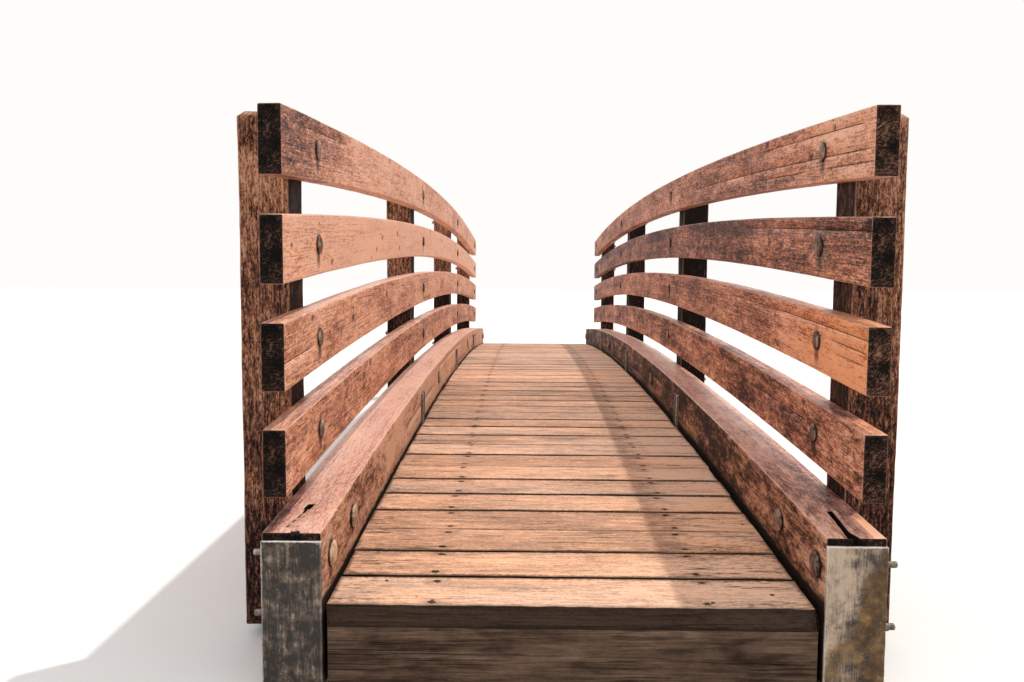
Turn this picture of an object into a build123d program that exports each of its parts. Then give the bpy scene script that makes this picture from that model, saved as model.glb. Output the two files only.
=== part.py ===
from build123d import *
from math import ceil, sqrt
import os

# Arched timber footbridge, in millimetres.
# X runs across the walkway, Y along it with the near end at -Y, and Z up.
# The origin is on the bearing level, in the middle of the bridge.
# Every long member is one arc of the same radius, moved straight up or down,
# so a level is given at the bridge's ends and arch_rise adds the rest.

# Driving dimensions of the whole bridge
BRIDGE_LENGTH = 8890.0
RAIL_CLEAR_WIDTH = 1524.0
ARCH_RADIUS = 62500.0

# Curved stringers, one each side, whose upper part stands above the deck as a kerb
STRINGER_WIDTH = 160.0
STRINGER_DEPTH = 419.0
KERB_HEIGHT = 194.0
STRINGER_ARRIS = 8.0

# Curved rails, four each side, named from the top down
RAIL_THICKNESS = 63.5
RAIL_DEPTH = 183.0
RAIL_GAP = 101.0
KERB_TO_RAIL_GAP = 86.0
RAIL_SETBACK = 20.0
RAIL_ARRIS = 6.0
RAIL_NAMES = ["top_rail", "upper_rail", "lower_rail", "bottom_rail"]

# Posts, four each side, bolted to the outer faces of stringers and rails
POST_WIDTH = 147.0
POST_DEPTH = 156.0
POST_END_DISTANCE = 308.0
POST_ABOVE_RAIL = 10.0
POST_ABOVE_SOFFIT = 12.0
POST_TOP_BEVEL = 17.0
POST_ARRIS = 5.0
POST_NAMES = ["near_post", "second_post", "third_post", "far_post"]

# Deck planks, laid crosswise and following the arch
PLANK_WIDTH = 184.0
PLANK_THICKNESS = 64.0
PLANK_JOINT = 5.0
PLANK_END_GAP = 18.0
PLANK_ARRIS = 3.0
DECK_END_GAP = 5.0
DECK_BAYS = 6

# Two lines of joists under the planks, where the planks are nailed down
JOIST_SPACING = 750.0
JOIST_WIDTH = 89.0
JOIST_DEPTH = 89.0
JOIST_HOUSING = 16.0
JOIST_SIDE_CLEARANCE = 1.0
JOIST_END_CLEARANCE = 3.0

# Cross beams that carry the joists, at even spacing, each held by a steel hanger at both ends
BEAM_WIDTH = 89.0
BEAM_DEPTH = 140.0
BEAM_NAMES = ["near", "middle", "far"]
HANGER_WIDTH = 76.0
HANGER_THICKNESS = 12.0
HANGER_BELOW_KERB = 46.0
HANGER_SEAT = 90.0
HANGER_BEND_RADIUS = 10.0

# Steel shoes under and in front of the stringers' ends
SHOE_BASE_THICKNESS = 20.0
SHOE_BASE_LENGTH = 260.0
SHOE_PLATE_THICKNESS = 10.0
SHOE_BELOW_KERB = 21.0
SHOE_CORNER = 4.0

# Tongue of each shoe, in a kerf sawn up into the stringer's end
TONGUE_THICKNESS = 10.0
TONGUE_CLEARANCE = 2.0
TONGUE_END_CLEARANCE = 18.0
KERF_LENGTH = 210.0
KERF_BELOW_KERB = 42.0

# Damage at the near ends: the right kerf has broken open, and on the left a hole has rotted
BREAK_MOUTH_EXTRA = 16.0
HOLE_LENGTH = 36.0
HOLE_WIDTH = 18.0
HOLE_PAST_KERF = 16.0

# Values worked out from the dimensions above
HALF_LENGTH = BRIDGE_LENGTH / 2
SIDE_PLANE = RAIL_CLEAR_WIDTH / 2 + RAIL_THICKNESS
STRINGER_INNER = SIDE_PLANE - STRINGER_WIDTH
STRINGER_MIDDLE = SIDE_PLANE - STRINGER_WIDTH / 2
KERF_WIDTH = TONGUE_THICKNESS + 2 * TONGUE_CLEARANCE
PLANK_HALF_LENGTH = STRINGER_INNER - PLANK_END_GAP
BEAM_HALF_LENGTH = STRINGER_INNER - HANGER_THICKNESS


def arch_rise(y):
    """Height of the arc at y over its own level at the bridge's ends."""
    return sqrt(ARCH_RADIUS**2 - y**2) - sqrt(ARCH_RADIUS**2 - HALF_LENGTH**2)


# Levels at the bridge's ends: the soffit meets the shoe's top where the seat cut stops
SOFFIT_LEVEL = SHOE_BASE_THICKNESS - arch_rise(HALF_LENGTH - SHOE_BASE_LENGTH)
KERB_LEVEL = SOFFIT_LEVEL + STRINGER_DEPTH
KERF_TOP = KERB_LEVEL - KERF_BELOW_KERB
DECK_LEVEL = KERB_LEVEL - KERB_HEIGHT
PLANK_UNDERSIDE = DECK_LEVEL - PLANK_THICKNESS
RAIL_PITCH = RAIL_DEPTH + RAIL_GAP
TOP_RAIL_LEVEL = KERB_LEVEL + KERB_TO_RAIL_GAP + 4 * RAIL_DEPTH + 3 * RAIL_GAP
POST_PITCH = (BRIDGE_LENGTH - 2 * POST_END_DISTANCE - POST_DEPTH) / (len(POST_NAMES) - 1)
BEAM_SPACING = BRIDGE_LENGTH / (len(BEAM_NAMES) + 1)
CUT_FLOOR = SOFFIT_LEVEL - SHOE_BASE_THICKNESS


def arch_outline(y_start, y_end, low_level, high_level):
    """Side view of a curved member: two arcs and two plumb ends, on the YZ plane."""
    y_mid = (y_start + y_end) / 2
    low = [(y, low_level + arch_rise(y)) for y in (y_start, y_mid, y_end)]
    high = [(y, high_level + arch_rise(y)) for y in (y_start, y_mid, y_end)]
    with BuildSketch(Plane.YZ) as outline:
        with BuildLine():
            ThreePointArc(*low)
            Line(low[2], high[2])
            ThreePointArc(*high)
            Line(high[0], low[0])
        make_face()
    return outline.sketch


def arched_member(x_low, x_high, y_start, y_end, low_level, high_level):
    """A curved member, from x_low to x_high across the bridge."""
    outline = arch_outline(y_start, y_end, low_level, high_level)
    return extrude(outline.moved(Location((x_low, 0, 0))), amount=x_high - x_low)


def span_of(side, inner, outer):
    """Low and high X of a piece between two distances from the centre line."""
    return sorted((side * inner, side * outer))


def long_edges(member):
    """The curved edges that run along a member."""
    return [e for e in member.edges() if e.geom_type == GeomType.CIRCLE]


def block(x_low, x_high, y_low, y_high, z_low, z_high):
    """A plain squared block between its limits."""
    size = (x_high - x_low, y_high - y_low, z_high - z_low)
    centre = ((x_low + x_high) / 2, (y_low + y_high) / 2, (z_low + z_high) / 2)
    return Pos(*centre) * Box(*size)


def kerf(side, end):
    """Tool for the kerf that takes a shoe's tongue, blind below the stringer's top."""
    y_open = end * HALF_LENGTH
    y_blind = end * (HALF_LENGTH - KERF_LENGTH)
    return block(side * STRINGER_MIDDLE - KERF_WIDTH / 2, side * STRINGER_MIDDLE + KERF_WIDTH / 2,
                 min(y_open, y_blind), max(y_open, y_blind), CUT_FLOOR, KERF_TOP)


def stringer(side):
    """Curved stringer with flat seats and kerfs cut over both shoes."""
    low, high = span_of(side, STRINGER_INNER, SIDE_PLANE)
    body = arched_member(low, high, -HALF_LENGTH, HALF_LENGTH, SOFFIT_LEVEL, KERB_LEVEL)
    body = chamfer(long_edges(body), STRINGER_ARRIS)
    body -= block(low, high, -HALF_LENGTH, HALF_LENGTH, CUT_FLOOR, SHOE_BASE_THICKNESS)
    for end in (-1, 1):
        body -= kerf(side, end)
    return body


def broken_out_kerf():
    """Tool for the right near kerf, open to the top and broken wider towards the end."""
    inner = STRINGER_MIDDLE - KERF_WIDTH / 2
    outer = STRINGER_MIDDLE + KERF_WIDTH / 2
    blind = KERF_LENGTH - HALF_LENGTH
    with BuildSketch(Plane.XY.offset(KERF_TOP)) as plan:
        with BuildLine():
            Polyline((inner - BREAK_MOUTH_EXTRA, -HALF_LENGTH), (outer, -HALF_LENGTH),
                     (outer, blind), (inner, blind), close=True)
        make_face()
    return extrude(plan.sketch, amount=KERB_LEVEL + STRINGER_DEPTH - KERF_TOP)


def rotted_hole():
    """Tool for the hole over the inner end of the left near kerf, down into the kerf."""
    y_high = KERF_LENGTH + HOLE_PAST_KERF - HALF_LENGTH
    return block(-STRINGER_MIDDLE - HOLE_WIDTH / 2, -STRINGER_MIDDLE + HOLE_WIDTH / 2,
                 y_high - HOLE_LENGTH, y_high, KERF_TOP, KERB_LEVEL + STRINGER_DEPTH)


def damaged_stringer(side):
    """Stringer with the damage that its near end has on that side."""
    if side > 0:
        return stringer(side) - broken_out_kerf()
    return stringer(side) - rotted_hole()


def rail(side, number):
    """One curved rail with eased long edges; number 0 is the top rail."""
    high_level = TOP_RAIL_LEVEL - number * RAIL_PITCH
    low, high = span_of(side, SIDE_PLANE - RAIL_THICKNESS, SIDE_PLANE)
    y_end = HALF_LENGTH - RAIL_SETBACK
    body = arched_member(low, high, -y_end, y_end, high_level - RAIL_DEPTH, high_level)
    return chamfer(long_edges(body), RAIL_ARRIS)


def post_centre(number):
    """Y of a post's centre; number 0 is the near post."""
    return -HALF_LENGTH + POST_END_DISTANCE + POST_DEPTH / 2 + number * POST_PITCH


def post(side, number):
    """Squared post with eased corners and a bevelled top."""
    centre = post_centre(number)
    low, high = span_of(side, SIDE_PLANE, SIDE_PLANE + POST_WIDTH)
    foot = SOFFIT_LEVEL + arch_rise(centre) + POST_ABOVE_SOFFIT
    head = TOP_RAIL_LEVEL + arch_rise(centre) + POST_ABOVE_RAIL
    body = block(low, high, centre - POST_DEPTH / 2, centre + POST_DEPTH / 2, foot, head)
    eased = chamfer(body.edges().filter_by(Axis.Z), POST_ARRIS)
    bevelled = chamfer(body.faces().sort_by(Axis.Z)[-1].edges(), POST_TOP_BEVEL)
    return eased & bevelled


def plank_centres():
    """Y of every plank's centre, evenly spread from end to end."""
    deck_length = BRIDGE_LENGTH - 2 * DECK_END_GAP
    count = round((deck_length + PLANK_JOINT) / (PLANK_WIDTH + PLANK_JOINT))
    pitch = (deck_length - PLANK_WIDTH) / (count - 1)
    first = -(deck_length - PLANK_WIDTH) / 2
    return [first + number * pitch for number in range(count)]


def plank(centre):
    """One deck plank, tangent to the arc under its middle."""
    board = Box(2 * PLANK_HALF_LENGTH, PLANK_WIDTH, PLANK_THICKNESS,
                align=(Align.CENTER, Align.CENTER, Align.MIN))
    upper = board.faces().sort_by(Axis.Z)[-1].edges().filter_by(Axis.X)
    board = chamfer(upper, PLANK_ARRIS)
    seat = PLANK_UNDERSIDE + arch_rise(centre)
    tangent = Plane(origin=(0, centre, seat), x_dir=(1, 0, 0),
                    z_dir=(0, centre, sqrt(ARCH_RADIUS**2 - centre**2)))
    return tangent.location * board


def deck_bays():
    """Planks in groups, as nodes of separate boards."""
    centres = plank_centres()
    per_bay = ceil(len(centres) / DECK_BAYS)
    bays = {}
    for number in range(DECK_BAYS):
        boards = [plank(y) for y in centres[number * per_bay:(number + 1) * per_bay]]
        bays["deck_bay_%d" % (number + 1)] = Compound(children=boards)
    return bays


def beam_centres():
    """Y of every cross beam."""
    return [-HALF_LENGTH + BEAM_SPACING * (number + 1) for number in range(len(BEAM_NAMES))]


def joist_piece(side, y_start, y_end, clearance, high_level):
    """A length of joist, or with a clearance and a higher top the tool for its housing."""
    low, high = span_of(side, (JOIST_SPACING - JOIST_WIDTH) / 2 - clearance,
                        (JOIST_SPACING + JOIST_WIDTH) / 2 + clearance)
    return arched_member(low, high, y_start, y_end, PLANK_UNDERSIDE - JOIST_DEPTH, high_level)


def joists(side):
    """One line of joists, each length housed in the beams at its ends."""
    spans = beam_spans()
    reach = JOIST_HOUSING - JOIST_END_CLEARANCE
    lengths = [joist_piece(side, before[1] - reach, after[0] + reach, 0, PLANK_UNDERSIDE)
               for before, after in zip(spans[:-1], spans[1:])]
    return Compound(children=lengths)


def beam_spans():
    """Low and high Y of every beam under the deck, from the near end to the far end."""
    outside = HALF_LENGTH - DECK_END_GAP
    near_end = (-outside, BEAM_WIDTH - outside)
    far_end = (outside - BEAM_WIDTH, outside)
    between = [(y - BEAM_WIDTH / 2, y + BEAM_WIDTH / 2) for y in beam_centres()]
    return [near_end] + between + [far_end]


def housed_beam(y_low, y_high, soffit, housed_faces):
    """Beam under the planks with a flat soffit, and housings for the joists in its faces."""
    body = arched_member(-BEAM_HALF_LENGTH, BEAM_HALF_LENGTH, y_low, y_high,
                         CUT_FLOOR, PLANK_UNDERSIDE)
    body -= block(-BEAM_HALF_LENGTH, BEAM_HALF_LENGTH, y_low, y_high, CUT_FLOOR, soffit)
    for face in housed_faces:
        inside = face + JOIST_HOUSING if face == y_low else face - JOIST_HOUSING
        for side in (-1, 1):
            body -= joist_piece(side, min(face, inside), max(face, inside),
                                JOIST_SIDE_CLEARANCE, DECK_LEVEL)
    return body


def beam_soffit(centre):
    """Level of a cross beam's flat underside."""
    return PLANK_UNDERSIDE + arch_rise(centre) - BEAM_DEPTH


def hanger(side, centre):
    """Bent steel strap: a leg on the stringer's inner face and a seat under the beam."""
    seat_top = beam_soffit(centre)
    seat_bottom = seat_top - HANGER_THICKNESS
    head = KERB_LEVEL + arch_rise(centre) - HANGER_BELOW_KERB
    back = STRINGER_INNER
    face = back - HANGER_THICKNESS
    toe = face - HANGER_SEAT
    corners = [(back, seat_bottom), (back, head), (face, head),
               (face, seat_top), (toe, seat_top), (toe, seat_bottom)]
    with BuildSketch(Plane.XZ.offset(-centre - HANGER_WIDTH / 2)) as outline:
        with BuildLine():
            Polyline(*[(side * x, z) for x, z in corners], close=True)
        make_face()
        outer_bend = outline.vertices().filter_by(
            lambda v: abs(abs(v.X) - back) < 1 and abs(v.Z - seat_bottom) < 1)
        fillet(outer_bend, HANGER_BEND_RADIUS)
    return extrude(outline.sketch, amount=HANGER_WIDTH)


def shoe(side, end):
    """Welded shoe: base plate under the seat, plate over the end, and tongue in the kerf."""
    low, high = span_of(side, STRINGER_INNER, SIDE_PLANE)
    end_face = end * HALF_LENGTH
    outside = end * (HALF_LENGTH + SHOE_PLATE_THICKNESS)
    inside = end * (HALF_LENGTH - SHOE_BASE_LENGTH)
    base = block(low, high, min(inside, outside), max(inside, outside),
                 0, SHOE_BASE_THICKNESS)
    plate = block(low, high, min(end_face, outside), max(end_face, outside),
                  0, KERB_LEVEL - SHOE_BELOW_KERB)
    plate = chamfer(plate.edges().filter_by(Axis.Y).group_by(Axis.Z)[-1], SHOE_CORNER)
    tip = end * (HALF_LENGTH - KERF_LENGTH + TONGUE_END_CLEARANCE)
    tongue = block(side * STRINGER_MIDDLE - TONGUE_THICKNESS / 2,
                   side * STRINGER_MIDDLE + TONGUE_THICKNESS / 2,
                   min(tip, outside), max(tip, outside), 0, KERF_TOP - TONGUE_END_CLEARANCE)
    return base + plate + tongue


def build_nodes():
    """Every sub-part by its node name."""
    nodes = {}
    for side, side_name in ((-1, "left"), (1, "right")):
        nodes[side_name + "_stringer"] = damaged_stringer(side)
        nodes[side_name + "_joists"] = joists(side)
        for number, name in enumerate(RAIL_NAMES):
            nodes[side_name + "_" + name] = rail(side, number)
        for number, name in enumerate(POST_NAMES):
            nodes[side_name + "_" + name] = post(side, number)
        for end, end_name in ((-1, "near"), (1, "far")):
            nodes["%s_%s_shoe" % (side_name, end_name)] = shoe(side, end)
        for centre, name in zip(beam_centres(), BEAM_NAMES):
            nodes["%s_%s_hanger" % (side_name, name)] = hanger(side, centre)
    spans = beam_spans()
    for (low, high), centre, name in zip(spans[1:-1], beam_centres(), BEAM_NAMES):
        nodes[name + "_cross_beam"] = housed_beam(low, high, beam_soffit(centre), (low, high))
    nodes["near_end_beam"] = housed_beam(*spans[0], 0, spans[0][1:])
    nodes["far_end_beam"] = housed_beam(*spans[-1], 0, spans[-1][:1])
    nodes.update(deck_bays())
    return nodes


os.makedirs("parts", exist_ok=True)
for node_name, node_shape in build_nodes().items():
    export_step(node_shape, "parts/%s.step" % node_name)
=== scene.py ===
import math

import bpy
import numpy as np
from mathutils import Matrix, Vector


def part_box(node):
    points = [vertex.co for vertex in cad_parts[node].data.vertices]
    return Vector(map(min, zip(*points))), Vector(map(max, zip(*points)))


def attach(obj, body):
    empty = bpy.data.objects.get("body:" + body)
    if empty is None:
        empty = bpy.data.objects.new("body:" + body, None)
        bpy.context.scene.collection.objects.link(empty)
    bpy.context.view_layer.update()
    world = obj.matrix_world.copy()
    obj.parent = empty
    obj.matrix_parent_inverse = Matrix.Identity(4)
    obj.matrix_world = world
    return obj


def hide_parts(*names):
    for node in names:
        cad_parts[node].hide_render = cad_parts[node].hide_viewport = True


# Looks of an arched timber footbridge with curved rails, square posts and a plank deck.
# Metres, with X across the walkway, Y along it and Z up, as in the frame.
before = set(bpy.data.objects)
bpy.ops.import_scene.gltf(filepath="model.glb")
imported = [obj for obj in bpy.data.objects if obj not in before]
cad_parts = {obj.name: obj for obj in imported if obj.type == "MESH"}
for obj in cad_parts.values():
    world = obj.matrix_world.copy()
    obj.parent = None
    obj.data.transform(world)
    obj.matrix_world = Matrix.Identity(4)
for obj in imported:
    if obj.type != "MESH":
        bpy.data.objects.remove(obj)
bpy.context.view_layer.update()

SIDES = (("left", -1), ("right", 1))
ENDS = (("near", -1), ("far", 1))
RAILS = ("top_rail", "upper_rail", "lower_rail", "bottom_rail")
POSTS = ("near_post", "second_post", "third_post", "far_post")
HANGERS = ("near", "middle", "far")
DECK_BAYS = 6

# Sizes, most of them read from the frame
stringer_low, stringer_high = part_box("right_stringer")
rail_low, rail_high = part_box("right_top_rail")
ARCH_RADIUS = 62.5
HALF_LENGTH = stringer_high.y
SIDE_PLANE = stringer_high.x
STRINGER_INNER = stringer_low.x
STRINGER_WIDTH = SIDE_PLANE - STRINGER_INNER
STRINGER_DEPTH = 0.419
RAIL_INNER = rail_low.x
RAIL_THICKNESS = rail_high.x - rail_low.x
RAIL_HALF_LENGTH = rail_high.y


def arch_rise(y):
    """Height of the arc over its own level at the bridge's ends: the sagitta left at y."""
    return np.sqrt(ARCH_RADIUS**2 - y**2) - math.sqrt(ARCH_RADIUS**2 - HALF_LENGTH**2)


CREST = arch_rise(0)
KERB_LEVEL = stringer_high.z - CREST
SOFFIT_LEVEL = KERB_LEVEL - STRINGER_DEPTH
SHOE_TOP = stringer_low.z
RAIL_DEPTH = rail_high.z - rail_low.z - CREST + arch_rise(RAIL_HALF_LENGTH)
RAIL_LEVELS = [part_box("right_" + rail)[1].z - CREST for rail in RAILS]
POST_CENTRES = [sum(corner.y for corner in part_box("right_" + post)) / 2 for post in POSTS]
POST_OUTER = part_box("right_near_post")[1].x
KERB_HEIGHT = 0.194
DECK_LEVEL = KERB_LEVEL - KERB_HEIGHT
PLANK_THICKNESS = 0.064
PLANK_HALF_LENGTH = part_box("deck_bay_1")[1].x
PLANK_WIDTH = 0.184
PLANK_COUNT = 47
DECK_END_GAP = 0.005
NAIL_ROW = 0.375
NAIL_FROM_MIDDLE = 0.066
PLATE_THICKNESS = 0.01
PLATE_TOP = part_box("right_near_shoe")[1].z
SHOE_BASE_LENGTH = 0.26
TONGUE_LENGTH = 0.192
STRAP_THICKNESS = 0.012
BOARD_THICKNESS = 0.035
FIRST_LINE = 0.038
TOUCH = 1e-6
TENTHS = 10000


# Shapes: every surface is worked out as whole arrays


def ease(value, low, high):
    """0 up to low, 1 from high on, and a cubic ease in between; low may lie above high."""
    share = np.clip((value - low) / (high - low), 0, 1)
    return share * share * (3 - 2 * share)


def wander(points, wavelength, seed, waves=8):
    """Smooth random height of about -1 to 1 at each point: the sum of sine waves with random
    directions, phases and lengths, spread round the wavelength along each of the three axes."""
    rng = np.random.default_rng(seed)
    directions = rng.normal(size=(waves, 3))
    directions /= np.linalg.norm(directions, axis=1, keepdims=True)
    turns = directions / (rng.uniform(0.55, 1.8, (waves, 1)) * np.asarray(wavelength, float))
    phases = rng.uniform(0, 2 * np.pi, waves)
    return np.sin(2 * np.pi * points @ turns.T + phases).sum(axis=1) / math.sqrt(waves)


def eased_stops(size, step, easing, extra):
    """Stops over a size, counted from its middle: close together in the eased edges, evenly
    spread between them, and one at each extra place, where the even ones make room."""
    edge = np.array([0, 0.25, 0.6, 1, 2.6]) * easing - size / 2
    count = max(2, round(size / step))
    inside = np.arange(1, count) / count * size - size / 2
    room = np.abs(np.subtract.outer(inside, [*extra, np.inf])).min(axis=1)
    inside = inside[(np.abs(inside) < size / 2 - 4 * easing) & (room > 0.3 * step)]
    return np.sort(np.concatenate([edge, inside, extra, -edge]))


def block_grid(*stops):
    """Closed surface of a block: a grid of stops over each face, joined where faces meet."""
    points, quads, count = [], [], 0
    for axis in range(3):
        first, second = (axis + 1) % 3, (axis + 2) % 3
        for end, order in ((0, -1), (-1, 1)):
            grid = np.full((len(stops[first]), len(stops[second]), 3), stops[axis][end])
            grid[..., first], grid[..., second] = np.meshgrid(stops[first], stops[second], indexing="ij")
            place = count + np.arange(grid[..., 0].size).reshape(grid.shape[:2])
            cells = np.stack([place[:-1, :-1], place[1:, :-1], place[1:, 1:], place[:-1, 1:]], -1)
            quads.append(cells.reshape(-1, 4)[:, ::order])
            points.append(grid.reshape(-1, 3))
            count += place.size
    points, places = np.unique(np.concatenate(points), axis=0, return_inverse=True)
    return points, places.ravel()[np.concatenate(quads)]


class Timber:
    """A piece in its own straight frame: across, along and up from its middle. Edges are rounded:
    a point is put at the easing from the block shrunk by the easing, on the line to the nearest
    point of that smaller block. Then the faces go in and out by a smooth random height. The marks
    keep each point's place in the grain, its distance to the nearest edge, and more."""

    def __init__(self, size, steps, easing, seed, roughness, extras=((), (), ())):
        self.half = np.array(size) / 2
        stops = [eased_stops(length, step, min(easing, 0.1 * length), sorted(extra))
                 for length, step, extra in zip(size, steps, extras)]
        self.start, quads = block_grid(*stops)
        self.faces = (quads, np.zeros((0, 3), int))
        count = len(self.start)
        rim = np.sort(np.abs(self.half - np.abs(self.start)), axis=1)[:, 1]
        self.marks = {"grain": self.start[:, [1, 0, 2]], "rim": rim, "seed": np.full(count, float(seed)),
                      "end_grain": self.face(1, -1) | self.face(1, 1), "tone": np.zeros(count),
                      "grime": np.zeros(count), "crack": np.zeros(count),
                      "bolt": np.full((count, 3), (9, 9, 0))}
        worn = easing * (1 + 0.15 * wander(self.start, (0.2, 0.45, 0.2), seed + 1))
        worn = np.clip(worn, 0.5 * easing, 1.6 * easing)[:, None]
        core = np.clip(self.start, worn - self.half, self.half - worn)
        away = self.start - core
        height = (roughness * wander(self.start, (0.05, 0.35, 0.05), seed + 2)
                  + 0.6 * roughness * wander(self.start, (0.02, 0.06, 0.02), seed + 3))
        outward = (np.abs(self.start) > self.half - TOUCH) * np.sign(self.start)
        outward /= np.linalg.norm(outward, axis=1, keepdims=True)
        self.points = (core + away / np.linalg.norm(away, axis=1, keepdims=True) * worn
                       + outward * height[:, None])

    def on(self, axis, place):
        """Which points lay at that place on an axis before they moved."""
        return np.abs(self.start[:, axis] - place) < TOUCH

    def face(self, axis, side):
        """Which points lay on the face across that axis, on the -1 or the 1 side."""
        return self.on(axis, side * self.half[axis])

    def mark_bolts(self, places, up, scuffed=0):
        """Notes for each point the bolt that is nearest along the piece: its place along and up,
        and how scuffed the face round it is. Only the first one's may be."""
        nearest = np.abs(self.start[:, 1:2] - places).argmin(axis=1)
        self.marks["bolt"] = np.stack([np.take(places, nearest), np.full(len(nearest), up),
                                       scuffed * (nearest == 0)], 1)

    def groove(self, axis, side, level, depth):
        """Opens a joint or check on the face across that axis: the points of the stop at that
        level, up or across, go in by the depth that a function of the place along gives."""
        inner = np.abs(self.start[:, 1]) < self.half[1] - TOUCH
        chosen = self.face(axis, side) & self.on(2 - axis, level) & inner
        sunk = depth(self.start[chosen, 1])
        self.points[chosen, axis] -= side * sunk
        self.marks["crack"][chosen] = np.clip(sunk / 0.0025, 0, 1)

    def put(self, name, kind, material, slot):
        put(name + kind, self.points, self.faces, self.marks, material, slot, name)

    def arch(self, x, level):
        """Lays the piece along the bridge: its middle at x and at a level over the ends."""
        self.points += np.array([x, 0, level])
        self.points[:, 2] += arch_rise(self.points[:, 1])


def put(name, points, faces, marks, material, slot, *replaced):
    """Makes a piece of the bridge from its points and its faces, quads and triangles, with its
    marks as attributes."""
    mesh = bpy.data.meshes.new(name)
    mesh.from_pydata(points, [], faces[0].tolist() + faces[1].tolist(), shade_flat=False)
    for mark, values in marks.items():
        kind, key = ("FLOAT_VECTOR", "vector") if np.ndim(values) == 2 else ("FLOAT", "value")
        attribute = mesh.attributes.new(mark, kind, "POINT")
        attribute.data.foreach_set(key, np.asarray(values, np.float32).ravel())
    piece = bpy.data.objects.new(name, mesh)
    bpy.context.scene.collection.objects.link(piece)
    piece.data.materials.append(material)
    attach(piece, "root")
    if replaced:
        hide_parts(*replaced)


def joined(parts):
    """One set of points and faces from several."""
    firsts = np.cumsum([0] + [len(points) for points, _ in parts[:-1]])
    faces = [np.concatenate([faces[kind] + first for (_, faces), first in zip(parts, firsts)])
             for kind in (0, 1)]
    return np.concatenate([points for points, _ in parts]), faces


# Nodes for materials


def sign(operation, turned=False):
    """A sign between two values: a math node, with the second of them first if turned."""
    return lambda one, two: one.w.math(operation, *((two, one) if turned else (one, two)))


class Value:
    """An output socket to write formulas with: each sign and each method adds nodes for it."""

    __add__ = __radd__ = sign("ADD")
    __mul__ = __rmul__ = sign("MULTIPLY")
    __sub__, __rsub__ = sign("SUBTRACT"), sign("SUBTRACT", turned=True)
    __truediv__, __pow__ = sign("DIVIDE"), sign("POWER")

    def __init__(self, wiring, socket):
        self.w, self.socket = wiring, socket

    def __abs__(self):
        return self.w.math("ABSOLUTE", self)

    def weighed(self, weight):
        return (self - 0.5) * weight

    def moved(self, shift):
        return self.w.first("VectorMath", {0: self, 1: shift}, operation="ADD")

    def parts(self, kind="XYZ"):
        return self.w.outputs("Separate" + kind, {0: self}).values()

    def noise(self, scale, detail=2, roughness=0.5, distortion=0):
        """Noise of 0 to 1. Of several scales the first is along the grain, the last across it."""
        scales = scale if isinstance(scale, tuple) else (scale,)
        factors = (*scales, scales[-1], scales[-1])[:3]
        stretched = self.w.first("VectorMath", {0: self, 1: factors}, operation="MULTIPLY")
        inputs = {"Vector": stretched, "Scale": 1, "Detail": detail, "Roughness": roughness,
                  "Distortion": distortion}
        return self.w.first("TexNoise", inputs, noise_dimensions="3D")

    def span(self, low, high, to_low=0, to_high=1):
        """Eases from one number to the other while the value goes from low to high."""
        inputs = {"Value": self, "From Min": low, "From Max": high, "To Min": to_low, "To Max": to_high}
        return self.w.first("MapRange", inputs, interpolation_type="SMOOTHSTEP")

    def ramp(self, shades, places=None):
        """Colour on a ramp of shades at their places, or else evenly spread."""
        made = self.w.node("ValToRGB", {0: self})
        elements = made.color_ramp.elements
        while len(elements) < len(shades):
            elements.new(0.5)
        for number, (element, shade) in enumerate(zip(elements, shades)):
            element.position = places[number] if places else number / (len(shades) - 1)
            element.color = (*shade, 1)
        return Value(self.w, made.outputs[0])

    def mix(self, first, second, kind="MIX"):
        """The first colour with this share of the second one."""
        inputs = {0: self, 6: first, 7: second}
        made = self.w.node("Mix", inputs, data_type="RGBA", blend_type=kind)
        return Value(self.w, made.outputs[2])


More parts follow.
